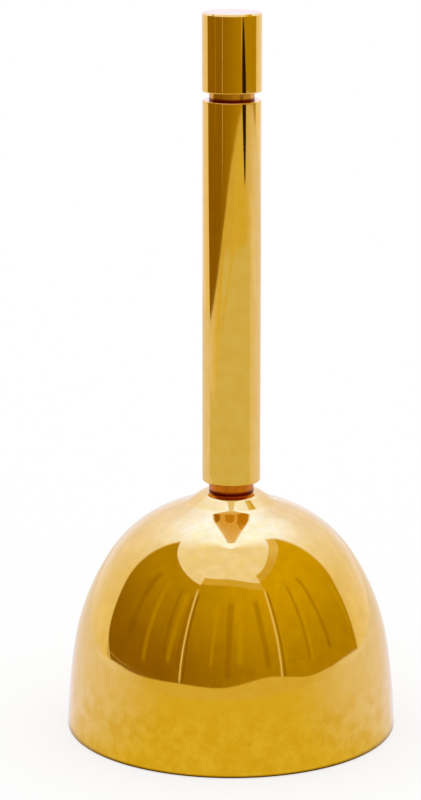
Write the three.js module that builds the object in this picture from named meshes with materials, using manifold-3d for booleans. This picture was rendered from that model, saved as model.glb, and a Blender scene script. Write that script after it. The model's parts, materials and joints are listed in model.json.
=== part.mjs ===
// Altar bell of polished brass: a dome-shaped bell that stands on its rim, a long handle and a clapper.
// Millimetres, +Z up. The origin is the centre of the mouth, in the plane that the rim stands on.

import * as THREE from 'three';
import { mergeVertices } from 'three/addons/utils/BufferGeometryUtils.js';
import Module from 'manifold-3d';

const wasm = await Module();
wasm.setup();

// Bell, outside: three tangent arcs from the rim up, their straight slope on to the foot of a short steeper
// cone, and a round over to the crown's seat.
// Each angle is how far the surface's normal has turned up from level where that arc ends.
const rimRadius = 38.1;
const rimLean = 1.07;
const wallArcRadius = 138;
const wallArcEnd = 9.4;
const shoulderArcRadius = 53;
const shoulderArcEnd = 33.3;
const crownArcRadius = 30.2;
const crownArcEnd = 70.4;
const coneFootRadius = 10.3;
const coneHeight = 2.7;
const coneRound = 4;
const crownSeatRadius = 5.2;

// Bell, inside: an even wall that thickens into the sound bow at the lip, and a flat ceiling for the washers
const wallThickness = 2.2;
const lipThickness = 3.4;
const soundBowHeight = 10;
const lipOuterRound = 0.5;
const lipInnerRound = 0.8;
const ceilingRadius = 7;

// Handle: two necks show as grooves between the crown, the grip and the cap
const neckRadius = 5.15;
const grooveDepth = 1.5;
const crownNeckHeight = 2.5;
const gripLength = 87.5;
const capNeckHeight = 1.95;
const capLength = 17.55;
const capProud = 0.1;
const capTopChamfer = 0.45;
const edgeChamfer = 0.25;
const gripSeatWidth = 0.85;
const spigotLength = 8;
const capSpigotLength = 1.5;
const spigotGap = 0.1;
const boreEndGap = 0.3;

// Tie rod and the stack that it clamps under the crown
const rodRadius = 3;
const rodInCap = 11.5;
const rodProud = 0.4;
const rodEndChamfer = 0.4;
const slipGap = 0.2;
const threadGap = 0.1;
const washerRadius = 6;
const fibreWasherThickness = 0.5;
const crownWasherThickness = 0.8;
const springWasherRadius = 5.4;
const springWasherThickness = 1;
const springWasherSlit = 0.8;
const crownNutAcross = 10;
const crownNutHeight = 2.8;
const nutBevelAngle = 30;

// Swivel: a shoulder screw in the rod's end carries the stirrup and lets it turn
const swivelWasherThickness = 0.5;
const swivelWasherRadius = 2.9;
const swivelEndGap = 0.15;
const shoulderRadius = 2;
const screwThreadRadius = 1.45;
const screwThreadLength = 6;
const screwHeadRadius = 2.75;
const screwHeadHeight = 1.3;
const screwSlotWidth = 0.8;
const screwSlotDepth = 0.6;
const pivotGap = 0.1;

// Stirrup: a bent strip with a headed pin across its legs
const stirrupThickness = 1;
const stirrupWidth = 6;
const stirrupSideGap = 0.45;
const stirrupBendRadius = 0.5;
const pinRadius = 1.2;
const pinHeadRadius = 2;
const pinHeadHeight = 0.8;
const pinWasherRadius = 2.1;
const pinWasherThickness = 0.9;
const pinSideGap = 0.15;

// Clapper: an eye on a round shank, and a ball that is tapped from above and held by a thin nut
const eyeRadius = 2.3;
const eyeHeadGap = 0.5;
const shankRadius = 1.5;
const shankInBall = 8;
const ballRadius = 8;
const ballRise = 2;
const lockNutAcross = 5.5;
const lockNutHeight = 1.8;

// Sides of the turned shapes, and the distance within which points of a surface are one
const bellSegments = 48;
const handleSegments = 32;
const smallSegments = 24;
const weldDistance = 1e-5;

const degrees = THREE.MathUtils.degToRad;
const point = (r, z) => new THREE.Vector2(r, z);
const polar = (centre, radius, angle) =>
  point(centre.x + radius * Math.cos(angle), centre.y + radius * Math.sin(angle));

// Points along an arc, both ends included
function arc(centre, radius, from, to, steps) {
  return Array.from({ length: steps + 1 }, (_, i) => polar(centre, radius, from + ((to - from) * i) / steps));
}

// Turns an outline of radius and height round the Z axis. It runs up the outside.
function turned(outline, segments) {
  return new THREE.LatheGeometry(outline, segments).rotateX(Math.PI / 2);
}

// A ring's outline is closed on itself; a solid bar's starts and ends on the axis
const ring = (outline, segments) => turned([...outline, outline[0].clone()], segments);

function washer(bore, radius, bottom, thickness) {
  const top = bottom + thickness;
  const outline = [point(bore, bottom), point(radius, bottom), point(radius, top), point(bore, top)];
  return ring(outline, smallSegments);
}

// A plain round bar along Z
function bar(radius, bottom, top, segments = smallSegments) {
  return turned([point(0, bottom), point(radius, bottom), point(radius, top), point(0, top)], segments);
}

// The same along Y, through the height of the clapper's pin
function crossBar(radius, halfLength, height, segments = smallSegments) {
  return bar(radius, -halfLength, halfLength, segments).rotateX(Math.PI / 2).translate(0, 0, height);
}

function toSolid(geometry) {
  const bare = geometry.clone();
  bare.deleteAttribute('normal');
  bare.deleteAttribute('uv');
  const merged = mergeVertices(bare, weldDistance);
  return new wasm.Manifold(
    new wasm.Mesh({
      numProp: 3,
      vertProperties: new Float32Array(merged.attributes.position.array),
      triVerts: new Uint32Array(merged.index.array),
    }),
  );
}

function toGeometry(solid) {
  const mesh = solid.getMesh();
  const geometry = new THREE.BufferGeometry();
  geometry.setAttribute('position', new THREE.BufferAttribute(mesh.vertProperties, 3));
  geometry.setIndex(new THREE.BufferAttribute(mesh.triVerts, 1));
  geometry.computeVertexNormals();
  return geometry;
}

// Centres of the bell's outer arcs
const lean = degrees(rimLean);
const wallEnd = degrees(wallArcEnd);
const shoulderEnd = degrees(shoulderArcEnd);
const crownEnd = degrees(crownArcEnd);
const wallCentre = polar(point(rimRadius, 0), -wallArcRadius, lean);
const shoulderCentre = polar(wallCentre, wallArcRadius - shoulderArcRadius, wallEnd);
const crownCentre = polar(shoulderCentre, shoulderArcRadius - crownArcRadius, shoulderEnd);

// The crown's slope keeps its angle to the cone's foot, and the cone meets the round at the seat as a tangent
const slopeFoot = polar(crownCentre, crownArcRadius, crownEnd);
const coneFoot = point(coneFootRadius, slopeFoot.y + (slopeFoot.x - coneFootRadius) / Math.tan(crownEnd));
const crownSeatZ = coneFoot.y + coneHeight;
const coneRoundCentre = point(crownSeatRadius, crownSeatZ - coneRound);
const toConeFoot = coneFoot.clone().sub(coneRoundCentre);
const coneTilt = Math.atan2(toConeFoot.y, toConeFoot.x) + Math.acos(coneRound / toConeFoot.length());

// The ceiling cuts the inner crown arc at its own radius
const ceilingAngle = Math.acos((ceilingRadius - crownCentre.x) / (crownArcRadius - wallThickness));
const ceilingZ = crownCentre.y + (crownArcRadius - wallThickness) * Math.sin(ceilingAngle);

// Heights, down from the ceiling to the clapper and up from the seat to the cap
const fibreWasherZ = ceilingZ - fibreWasherThickness;
const crownWasherZ = fibreWasherZ - crownWasherThickness;
const springWasherZ = crownWasherZ - springWasherThickness;
const crownNutZ = springWasherZ - crownNutHeight;
const rodEndZ = crownNutZ - rodProud;
const swivelWasherZ = rodEndZ - swivelWasherThickness;
const stirrupTopZ = swivelWasherZ - swivelEndGap;
const stirrupUnderZ = stirrupTopZ - stirrupThickness;
const screwHeadTopZ = stirrupUnderZ - swivelEndGap;
const screwHeadZ = screwHeadTopZ - screwHeadHeight;
const pinZ = screwHeadZ - eyeHeadGap - eyeRadius;
const ballZ = ballRise + ballRadius;

const gripZ = crownSeatZ + crownNeckHeight;
const gripTopZ = gripZ + gripLength;
const capZ = gripTopZ + capNeckHeight;
const capTopZ = capZ + capLength;
const rodTopZ = capZ + rodInCap;

const gripRadius = neckRadius + grooveDepth;
const gripBore = neckRadius - gripSeatWidth;
const capRadius = gripRadius + capProud;
const spigotRadius = gripBore - spigotGap;
const rodHole = rodRadius + slipGap;
const rodThreadHole = rodRadius + threadGap;
const stirrupHalfGap = screwHeadRadius + stirrupSideGap;
const stirrupHalf = stirrupHalfGap + stirrupThickness;
const eyeHalf = stirrupHalfGap - pinWasherThickness - 2 * pinSideGap;
const pinHole = pinRadius + pivotGap;

function bellCup() {
  const wallPoint = (z) => wallCentre.x + Math.sqrt(wallArcRadius ** 2 - (z - wallCentre.y) ** 2);
  const lipCorner = point(wallPoint(lipOuterRound) - lipOuterRound, lipOuterRound);
  const lipBend = point(rimRadius - lipThickness + lipInnerRound, lipInnerRound);
  const innerWall = wallArcRadius - wallThickness;
  const bowTop = Math.asin((soundBowHeight - wallCentre.y) / innerWall);

  // The sound bow: the wall swells by a half wave from its own thickness to the lip's
  const bowSteps = 6;
  const bow = Array.from({ length: bowSteps }, (_, i) => {
    const z = lipInnerRound + ((soundBowHeight - lipInnerRound) * i) / bowSteps;
    const swell = (1 + Math.cos((Math.PI * (z - lipInnerRound)) / (soundBowHeight - lipInnerRound))) / 2;
    return point(wallPoint(z) - wallThickness - (lipThickness - wallThickness) * swell, z);
  });

  const outside = [
    ...arc(lipCorner, lipOuterRound, degrees(-90), lean, 3),
    ...arc(wallCentre, wallArcRadius, lean, wallEnd, 5).slice(1),
    ...arc(shoulderCentre, shoulderArcRadius, wallEnd, shoulderEnd, 6).slice(1),
    ...arc(crownCentre, crownArcRadius, shoulderEnd, crownEnd, 8).slice(1),
    coneFoot,
    ...arc(coneRoundCentre, coneRound, coneTilt, degrees(90), 4),
    point(rodHole, crownSeatZ),
  ];
  const inside = [
    point(rodHole, ceilingZ),
    ...arc(crownCentre, crownArcRadius - wallThickness, ceilingAngle, shoulderEnd, 8),
    ...arc(shoulderCentre, shoulderArcRadius - wallThickness, shoulderEnd, wallEnd, 5).slice(1),
    ...arc(wallCentre, innerWall, wallEnd, bowTop, 3).slice(1),
    ...bow.slice(1).reverse(),
    ...arc(lipBend, lipInnerRound, degrees(180), degrees(270), 3),
  ];
  return ring([...outside, ...inside], bellSegments);
}

// The lower neck stands on the crown, with a spigot up into the grip
function crownCollar() {
  const spigotTop = gripZ + spigotLength;
  return ring(
    [
      point(rodHole, crownSeatZ),
      point(neckRadius, crownSeatZ),
      point(neckRadius, gripZ),
      point(spigotRadius, gripZ),
      point(spigotRadius, spigotTop - edgeChamfer),
      point(spigotRadius - edgeChamfer, spigotTop),
      point(rodHole, spigotTop),
    ],
    handleSegments,
  );
}

function handleTube() {
  return ring(
    [
      point(gripBore, gripZ),
      point(gripRadius - edgeChamfer, gripZ),
      point(gripRadius, gripZ + edgeChamfer),
      point(gripRadius, gripTopZ - edgeChamfer),
      point(gripRadius - edgeChamfer, gripTopZ),
      point(gripBore, gripTopZ),
    ],
    handleSegments,
  );
}

// The upper neck: a spigot down into the grip and a shorter one up into the cap
function capCollar() {
  const spigotFoot = gripTopZ - spigotLength;
  const spigotTop = capZ + capSpigotLength;
  return ring(
    [
      point(rodHole, spigotFoot),
      point(spigotRadius - edgeChamfer, spigotFoot),
      point(spigotRadius, spigotFoot + edgeChamfer),
      point(spigotRadius, gripTopZ),
      point(neckRadius, gripTopZ),
      point(neckRadius, capZ),
      point(spigotRadius, capZ),
      point(spigotRadius, spigotTop),
      point(rodHole, spigotTop),
    ],
    handleSegments,
  );
}

// The cap is bored for the collar's spigot and tapped for the rod
function handleCap() {
  const counterboreTop = capZ + capSpigotLength + boreEndGap;
  const boreTop = rodTopZ + boreEndGap;
  return turned(
    [
      point(0, boreTop),
      point(rodThreadHole, boreTop),
      point(rodThreadHole, counterboreTop),
      point(gripBore, counterboreTop),
      point(gripBore, capZ),
      point(capRadius - edgeChamfer, capZ),
      point(capRadius, capZ + edgeChamfer),
      point(capRadius, capTopZ - capTopChamfer),
      point(capRadius - capTopChamfer, capTopZ),
      point(0, capTopZ),
    ],
    handleSegments,
  );
}

function tieRod() {
  const tappedRadius = screwThreadRadius + threadGap;
  const tappedTop = rodEndZ + screwThreadLength + boreEndGap;
  return turned(
    [
      point(0, tappedTop),
      point(tappedRadius, tappedTop),
      point(tappedRadius, rodEndZ),
      point(rodRadius - rodEndChamfer, rodEndZ),
      point(rodRadius, rodEndZ + rodEndChamfer),
      point(rodRadius, rodTopZ - rodEndChamfer),
      point(rodRadius - rodEndChamfer, rodTopZ),
      point(0, rodTopZ),
    ],
    smallSegments,
  );
}

// The split lock washer lies flat under the nut's load
function springWasher() {
  const slit = new THREE.BoxGeometry(2 * springWasherRadius, springWasherSlit, 3 * springWasherThickness);
  slit.translate(springWasherRadius, 0, springWasherZ);
  const body = toSolid(washer(rodHole, springWasherRadius, springWasherZ, springWasherThickness));
  return toGeometry(body.subtract(toSolid(slit)));
}

// A hexagon nut: a six-sided bar whose corners are bevelled by a double cone, and bored
function hexNut(across, height, bottom, bore) {
  const corner = across / 2 / Math.cos(degrees(30));
  const bevel = (corner - across / 2) * Math.tan(degrees(nutBevelAngle));
  const top = bottom + height;
  const prism = new THREE.CylinderGeometry(corner, corner, height, 6).rotateX(Math.PI / 2);
  prism.translate(0, 0, (bottom + top) / 2);
  const cone = turned(
    [
      point(0, bottom),
      point(across / 2, bottom),
      point(corner, bottom + bevel),
      point(corner, top - bevel),
      point(across / 2, top),
      point(0, top),
    ],
    smallSegments,
  );
  const hole = bar(bore, bottom - height, top + height);
  return toGeometry(toSolid(prism).intersect(toSolid(cone)).subtract(toSolid(hole)));
}

function swivelScrew() {
  const threadTop = rodEndZ + screwThreadLength;
  const body = turned(
    [
      point(0, screwHeadZ),
      point(screwHeadRadius, screwHeadZ),
      point(screwHeadRadius, screwHeadTopZ),
      point(shoulderRadius, screwHeadTopZ),
      point(shoulderRadius, rodEndZ),
      point(screwThreadRadius, rodEndZ),
      point(screwThreadRadius, threadTop),
      point(0, threadTop),
    ],
    smallSegments,
  );
  const slot = new THREE.BoxGeometry(4 * screwHeadRadius, screwSlotWidth, 2 * screwSlotDepth);
  slot.translate(0, 0, screwHeadZ);
  return toGeometry(toSolid(body).subtract(toSolid(slot)));
}

// The stirrup: the bent section runs along X, and a side outline rounds the legs' ends about the pin.
// The inner and outer bends share their centres.
function clapperStirrup() {
  const foot = pinZ - stirrupWidth;
  const outerBend = stirrupBendRadius + stirrupThickness;
  const bendY = stirrupHalfGap - stirrupBendRadius;
  const bendZ = stirrupUnderZ - stirrupBendRadius;
  const section = new THREE.Shape();
  section.moveTo(-stirrupHalf, foot);
  section.lineTo(-stirrupHalfGap, foot);
  section.lineTo(-stirrupHalfGap, bendZ);
  section.absarc(-bendY, bendZ, stirrupBendRadius, Math.PI, Math.PI / 2, true);
  section.absarc(bendY, bendZ, stirrupBendRadius, Math.PI / 2, 0, true);
  section.lineTo(stirrupHalfGap, foot);
  section.lineTo(stirrupHalf, foot);
  section.lineTo(stirrupHalf, bendZ);
  section.absarc(bendY, bendZ, outerBend, 0, Math.PI / 2, false);
  section.absarc(-bendY, bendZ, outerBend, Math.PI / 2, Math.PI, false);
  section.closePath();

  // The section's X is the part's Y, its Y is the part's Z, and it is extruded along the part's X
  const alongX = { depth: stirrupWidth, bevelEnabled: false, curveSegments: 4 };
  const strip = new THREE.ExtrudeGeometry(section, alongX);
  strip.translate(0, 0, -stirrupWidth / 2).rotateX(Math.PI / 2).rotateZ(Math.PI / 2);

  const half = stirrupWidth / 2;
  const side = new THREE.Shape();
  side.moveTo(half, stirrupTopZ + half);
  side.lineTo(-half, stirrupTopZ + half);
  side.lineTo(-half, pinZ);
  side.absarc(0, pinZ, half, Math.PI, 2 * Math.PI, false);
  side.closePath();
  const alongY = { depth: 4 * stirrupHalf, bevelEnabled: false, curveSegments: 8 };
  const sides = new THREE.ExtrudeGeometry(side, alongY);
  sides.translate(0, 0, -2 * stirrupHalf).rotateX(Math.PI / 2);

  const swivelHole = bar(shoulderRadius + pivotGap, stirrupUnderZ - half, stirrupTopZ + half);
  const legHoles = crossBar(pinHole, 2 * stirrupHalf, pinZ);
  return toGeometry(
    toSolid(strip).intersect(toSolid(sides)).subtract(toSolid(swivelHole)).subtract(toSolid(legHoles)),
  );
}

// The pin has a head outside each leg
function stirrupPin() {
  const end = stirrupHalf + pinHeadHeight;
  const outline = [
    point(0, -end),
    point(pinHeadRadius, -end),
    point(pinHeadRadius, -stirrupHalf),
    point(pinRadius, -stirrupHalf),
    point(pinRadius, stirrupHalf),
    point(pinHeadRadius, stirrupHalf),
    point(pinHeadRadius, end),
    point(0, end),
  ];
  return turned(outline, smallSegments).rotateX(Math.PI / 2).translate(0, 0, pinZ);
}

// A spacer on the pin, between one leg and the eye; side is -1 or 1
function pinWasher(side) {
  const middle = side * (stirrupHalfGap - pinSideGap - pinWasherThickness / 2);
  const disc = washer(pinHole, pinWasherRadius, -pinWasherThickness / 2, pinWasherThickness);
  return disc.rotateX(Math.PI / 2).translate(0, middle, pinZ);
}

const lockNutCorner = lockNutAcross / 2 / Math.cos(degrees(30));
const spotFaceRadius = lockNutCorner + threadGap;
const spotFaceZ = ballZ + Math.sqrt(ballRadius ** 2 - spotFaceRadius ** 2);
const shankEndZ = spotFaceZ - shankInBall;

function clapperShank() {
  const eye = toSolid(crossBar(eyeRadius, eyeHalf, pinZ));
  const rod = toSolid(bar(shankRadius, shankEndZ, pinZ));
  return toGeometry(eye.add(rod).subtract(toSolid(crossBar(pinHole, 2 * eyeHalf, pinZ))));
}

// The ball is flat on top for its nut, and tapped down to just past the shank's end
function clapperBall() {
  const centre = point(0, ballZ);
  const tapped = shankRadius + threadGap;
  const tappedZ = shankEndZ - boreEndGap;
  const spotAngle = Math.acos(spotFaceRadius / ballRadius);
  return turned(
    [
      point(0, ballRise),
      ...arc(centre, ballRadius, degrees(-90), spotAngle, 13).slice(1),
      point(tapped, spotFaceZ),
      point(tapped, tappedZ),
      point(0, tappedZ),
    ],
    smallSegments,
  );
}

const polishedBrass = new THREE.MeshStandardMaterial({ color: 0xe0b050, roughness: 0.08, metalness: 1 });
const turnedBrass = new THREE.MeshStandardMaterial({ color: 0xc9a04c, roughness: 0.3, metalness: 1 });
const platedSteel = new THREE.MeshStandardMaterial({ color: 0xb9b6ac, roughness: 0.35, metalness: 1 });
const redFibre = new THREE.MeshStandardMaterial({ color: 0x7a3324, roughness: 0.8, metalness: 0 });

const bell = new THREE.Group();
const stirrup = new THREE.Group();
const clapper = new THREE.Group();

function piece(group, name, geometry, material) {
  const mesh = new THREE.Mesh(geometry, material);
  mesh.name = name;
  group.add(mesh);
}

piece(bell, 'bell_cup', bellCup(), polishedBrass);
piece(bell, 'crown_collar', crownCollar(), polishedBrass);
piece(bell, 'handle_tube', handleTube(), polishedBrass);
piece(bell, 'cap_collar', capCollar(), polishedBrass);
piece(bell, 'handle_cap', handleCap(), polishedBrass);
piece(bell, 'tie_rod', tieRod(), platedSteel);
piece(bell, 'fibre_washer', washer(rodHole, washerRadius, fibreWasherZ, fibreWasherThickness), redFibre);
piece(bell, 'crown_washer', washer(rodHole, washerRadius, crownWasherZ, crownWasherThickness), platedSteel);
piece(bell, 'spring_washer', springWasher(), platedSteel);
piece(bell, 'crown_nut', hexNut(crownNutAcross, crownNutHeight, crownNutZ, rodThreadHole), platedSteel);
piece(
  bell, 'swivel_washer',
  washer(shoulderRadius + slipGap, swivelWasherRadius, swivelWasherZ, swivelWasherThickness), redFibre,
);
piece(bell, 'swivel_screw', swivelScrew(), platedSteel);

piece(stirrup, 'clapper_stirrup', clapperStirrup(), turnedBrass);
piece(stirrup, 'stirrup_pin', stirrupPin(), turnedBrass);
piece(stirrup, 'pin_washer_left', pinWasher(-1), redFibre);
piece(stirrup, 'pin_washer_right', pinWasher(1), redFibre);

piece(clapper, 'clapper_shank', clapperShank(), turnedBrass);
piece(
  clapper, 'ball_lock_nut',
  hexNut(lockNutAcross, lockNutHeight, spotFaceZ, shankRadius + threadGap), turnedBrass,
);
piece(clapper, 'clapper_ball', clapperBall(), turnedBrass);

const altarBell = new THREE.Group();
altarBell.add(bell, stirrup, clapper);

export default altarBell;
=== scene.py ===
import json
from math import acos, asin, atan2, cos, pi, radians, sin, sqrt, tan
from random import Random

import bpy
from mathutils import Matrix, Vector


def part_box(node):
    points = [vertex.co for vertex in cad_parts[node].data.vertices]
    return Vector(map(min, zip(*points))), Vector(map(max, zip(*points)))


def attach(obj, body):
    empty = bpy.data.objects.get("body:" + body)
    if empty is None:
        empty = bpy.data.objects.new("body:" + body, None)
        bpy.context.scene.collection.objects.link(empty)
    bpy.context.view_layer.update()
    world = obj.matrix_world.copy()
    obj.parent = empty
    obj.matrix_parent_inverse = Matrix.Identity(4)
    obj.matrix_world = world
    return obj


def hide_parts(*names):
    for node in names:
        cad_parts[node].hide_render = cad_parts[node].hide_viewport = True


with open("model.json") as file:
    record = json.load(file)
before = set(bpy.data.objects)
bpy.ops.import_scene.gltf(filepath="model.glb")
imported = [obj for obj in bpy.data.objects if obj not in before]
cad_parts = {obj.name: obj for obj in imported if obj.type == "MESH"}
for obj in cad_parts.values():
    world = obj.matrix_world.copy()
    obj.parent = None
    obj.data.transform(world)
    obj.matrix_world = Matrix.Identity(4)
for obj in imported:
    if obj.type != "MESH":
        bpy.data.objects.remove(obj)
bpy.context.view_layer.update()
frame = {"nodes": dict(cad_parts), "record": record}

mm = 0.001
record = frame["record"]
bodyOf = {name: body for body, names in record["behaviour"]["bodies"].items() for name in names}
print("frame loaded:", len(frame["nodes"]), "nodes")


# Camera at the photograph's viewing angle

cameraSetup = {"distance": 0.6577, "height": 0.2356, "pitch": 13.54, "turn": 0.415, "lens": 133.5}


def addObject(name, data):
    made = bpy.data.objects.new(name, data)
    bpy.context.scene.collection.objects.link(made)
    return made


def placeCamera(setup):
    data = bpy.data.cameras.new("photoCamera")
    data.lens = setup["lens"]
    data.clip_start = 0.01
    camera = addObject("photoCamera", data)
    camera.location = (0, -setup["distance"], setup["height"])
    camera.rotation_euler = (radians(90 - setup["pitch"]), 0, radians(setup["turn"]))
    bpy.context.scene.camera = camera


placeCamera(cameraSetup)
print("camera placed")


# Node helpers, for shader and geometry trees alike

def plug(tree, value, socket):
    if isinstance(value, bpy.types.NodeSocket):
        tree.links.new(value, socket)
    else:
        socket.default_value = value


# A key such as acrossFlats stands for the input Across Flats
def spaced(key):
    return "".join(" " + letter if letter.isupper() else letter for letter in key).strip()


def node(tree, kind, **inputs):
    made = tree.nodes.new(kind)
    for name, value in inputs.items():
        plug(tree, value, made.inputs[spaced(name)])
    return made


def maths(tree, operation, *values):
    made = tree.nodes.new("ShaderNodeMath")
    made.operation = operation
    for value, socket in zip(values, made.inputs):
        plug(tree, value, socket)
    return made.outputs[0]


def mapRange(tree, value, low, high, toLow=0.0, toHigh=1.0, kind="SMOOTHSTEP"):
    made = tree.nodes.new("ShaderNodeMapRange")
    made.interpolation_type = kind
    for given, socket in zip((value, low, high, toLow, toHigh), made.inputs):
        plug(tree, given, socket)
    return made.outputs[0]


def mixColour(tree, share, first, second, blend="MIX"):
    made = tree.nodes.new("ShaderNodeMix")
    made.data_type = "RGBA"
    made.blend_type = blend
    plug(tree, share, made.inputs[0])
    for value, socket in ((first, made.inputs[6]), (second, made.inputs[7])):
        plug(tree, value if isinstance(value, bpy.types.NodeSocket) else (*value, 1), socket)
    return made.outputs[2]


def grain(tree, place, size, detail=2.0, rough=0.5, distort=0.0):
    made = node(tree, "ShaderNodeTexNoise", Vector=place, Scale=1 / size, Detail=detail, Roughness=rough)
    made.inputs["Distortion"].default_value = distort
    return made.outputs[0]


def bump(tree, height, distance, before=None):
    made = node(tree, "ShaderNodeBump", Height=height, Distance=distance)
    if before is not None:
        tree.links.new(before, made.inputs["Normal"])
    return made.outputs[0]


# Marks that a lathe leaves run round Z and step along the outline, so this squeezes a pattern that way
def turnedPlace(tree, place, squeeze):
    x, y, z = node(tree, "ShaderNodeSeparateXYZ", Vector=place).outputs
    radius = maths(tree, "SQRT", maths(tree, "ADD", maths(tree, "MULTIPLY", x, x),
                                       maths(tree, "MULTIPLY", y, y)))
    along = maths(tree, "MULTIPLY", maths(tree, "SUBTRACT", z, radius), squeeze)
    return node(tree, "ShaderNodeCombineXYZ", X=x, Y=y, Z=along).outputs[0]


# Metals and fibre. Sizes are in metres and colours are linear.

def startMaterial(name):
    material = bpy.data.materials.new(name)
    material.use_nodes = True
    tree = material.node_tree
    place = tree.nodes.new("ShaderNodeTexCoord").outputs["Object"]
    return material, tree, tree.nodes["Principled BSDF"], place


polishedLook = {
    "deep": (0.77, 0.46, 0.07), "pale": (0.83, 0.54, 0.155), "bandTop": 0.017, "quiet": 0.35,
    "mottleSize": 0.003, "hazeSize": 0.016, "lineSize": 0.009, "lineSqueeze": 16.0,
    "clear": 0.035, "hazy": 0.07, "waveSize": 0.011, "waveHeight": 0.000008, "lineHeight": 0.0000004,
}


def polishedBrass(name, look):
    material, tree, shader, place = startMaterial(name)
    mottle = grain(tree, place, look["mottleSize"], 4.0, 0.6)
    haze = grain(tree, place, look["hazeSize"], 3.0)
    lines = grain(tree, turnedPlace(tree, place, look["lineSqueeze"]), look["lineSize"], 3.0)
    wave = grain(tree, place, look["waveSize"], 1.0)
    # The mottle is strong in the band above the rim and quiet elsewhere
    height = node(tree, "ShaderNodeSeparateXYZ", Vector=place).outputs[2]
    strength = mapRange(tree, height, 0.6 * look["bandTop"], look["bandTop"], 1.0, look["quiet"])
    swing = maths(tree, "MULTIPLY", mapRange(tree, mottle, 0.35, 0.65, -0.5, 0.5), strength)
    tone = maths(tree, "ADD", swing, 0.5)
    plug(tree, mixColour(tree, tone, look["deep"], look["pale"]), shader.inputs["Base Color"])
    dull = maths(tree, "ADD", mapRange(tree, haze, 0.4, 0.75, 0.0, 0.7), maths(tree, "MULTIPLY", lines, 0.3))
    plug(tree, mapRange(tree, dull, 0.0, 1.0, look["clear"], look["hazy"], "LINEAR"),
         shader.inputs["Roughness"])
    waved = bump(tree, wave, look["waveHeight"])
    plug(tree, bump(tree, lines, look["lineHeight"], waved), shader.inputs["Normal"])
    shader.inputs["Metallic"].default_value = 1.0
    return material


neckLook = {
    "lower": (0.58, 0.17, 0.012), "upper": (0.64, 0.33, 0.045), "patch": (0.36, 0.12, 0.02),
    # The next colour is painted shade: a dark line at each neck's foot, where it meets the next part
    "paintedFootShade": (0.17, 0.014, 0.002),
    "paintedShadeFrom": 0.35, "paintedShadeTo": 0.9, "patchSize": 0.0016, "clear": 0.14, "dull": 0.3,
}


# A polishing wheel hardly reaches the necks, so a redder tarnish stays in them. Their colour is also darkened
# as painted shade of the groove, with a painted shadow line darkest at the foot.
def shadedNeckBrass(name, look, bright, foot):
    material, tree, shader, place = startMaterial(name)
    share = mapRange(tree, grain(tree, place, look["patchSize"], 4.0, 0.6), 0.38, 0.68)
    height = node(tree, "ShaderNodeSeparateXYZ", Vector=place).outputs[2]
    # Painted shade: this share darkens the neck just above its foot, where it meets the next part
    low = mapRange(tree, height, (foot + look["paintedShadeFrom"]) * mm, (foot + look["paintedShadeTo"]) * mm, 1.0, 0.0)
    patched = mixColour(tree, maths(tree, "MULTIPLY", share, 0.6), bright, look["patch"])
    plug(tree, mixColour(tree, low, patched, look["paintedFootShade"]), shader.inputs["Base Color"])
    plug(tree, mapRange(tree, share, 0.0, 1.0, look["clear"], look["dull"], "LINEAR"),
         shader.inputs["Roughness"])
    lines = grain(tree, turnedPlace(tree, place, 12.0), 0.005, 2.0)
    plug(tree, bump(tree, lines, 0.000002), shader.inputs["Normal"])
    shader.inputs["Metallic"].default_value = 1.0
    return material


turnedLook = {
    "bright": (0.72, 0.45, 0.13), "stained": (0.50, 0.28, 0.07), "stainSize": 0.009,
    "grooveSize": 0.006, "squeeze": 14.0, "clear": 0.22, "dull": 0.42, "grooveHeight": 0.000006,
}


def turnedBrass(name, look):
    material, tree, shader, place = startMaterial(name)
    share = mapRange(tree, grain(tree, place, look["stainSize"], 5.0, 0.6, 0.4), 0.42, 0.72)
    fine = grain(tree, turnedPlace(tree, place, look["squeeze"]), look["grooveSize"], 4.0, 0.7)
    plug(tree, mixColour(tree, share, look["bright"], look["stained"]), shader.inputs["Base Color"])
    dull = maths(tree, "ADD", maths(tree, "MULTIPLY", share, 0.5), maths(tree, "MULTIPLY", fine, 0.5))
    plug(tree, mapRange(tree, dull, 0.1, 0.8, look["clear"], look["dull"], "LINEAR"),
         shader.inputs["Roughness"])
    plug(tree, bump(tree, fine, look["grooveHeight"]), shader.inputs["Normal"])
    shader.inputs["Metallic"].default_value = 1.0
    return material


steelLook = {
    "zinc": (0.55, 0.55, 0.52), "dark": (0.34, 0.335, 0.32), "spangleSize": 0.0007, "cloudSize": 0.004,
    "clear": 0.24, "dull": 0.45, "pitHeight": 0.000004,
}


def platedSteel(name, look):
    material, tree, shader, place = startMaterial(name)
    spangle = node(tree, "ShaderNodeTexVoronoi", Vector=place, Scale=1 / look["spangleSize"])
    cloud = grain(tree, place, look["cloudSize"], 4.0)
    tinted = mixColour(tree, mapRange(tree, cloud, 0.42, 0.7), look["zinc"], look["dark"])
    plug(tree, mixColour(tree, 0.12, tinted, spangle.outputs["Color"], "OVERLAY"),
         shader.inputs["Base Color"])
    plug(tree, mapRange(tree, cloud, 0.3, 0.7, look["clear"], look["dull"], "LINEAR"),
         shader.inputs["Roughness"])
    plug(tree, bump(tree, spangle.outputs["Distance"], look["pitHeight"]), shader.inputs["Normal"])
    shader.inputs["Metallic"].default_value = 1.0
    return material


fibreLook = {"red": (0.21, 0.032, 0.016), "worn": (0.30, 0.075, 0.045), "fleckSize": 0.0005,
             "fibreHeight": 0.00001}


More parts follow.
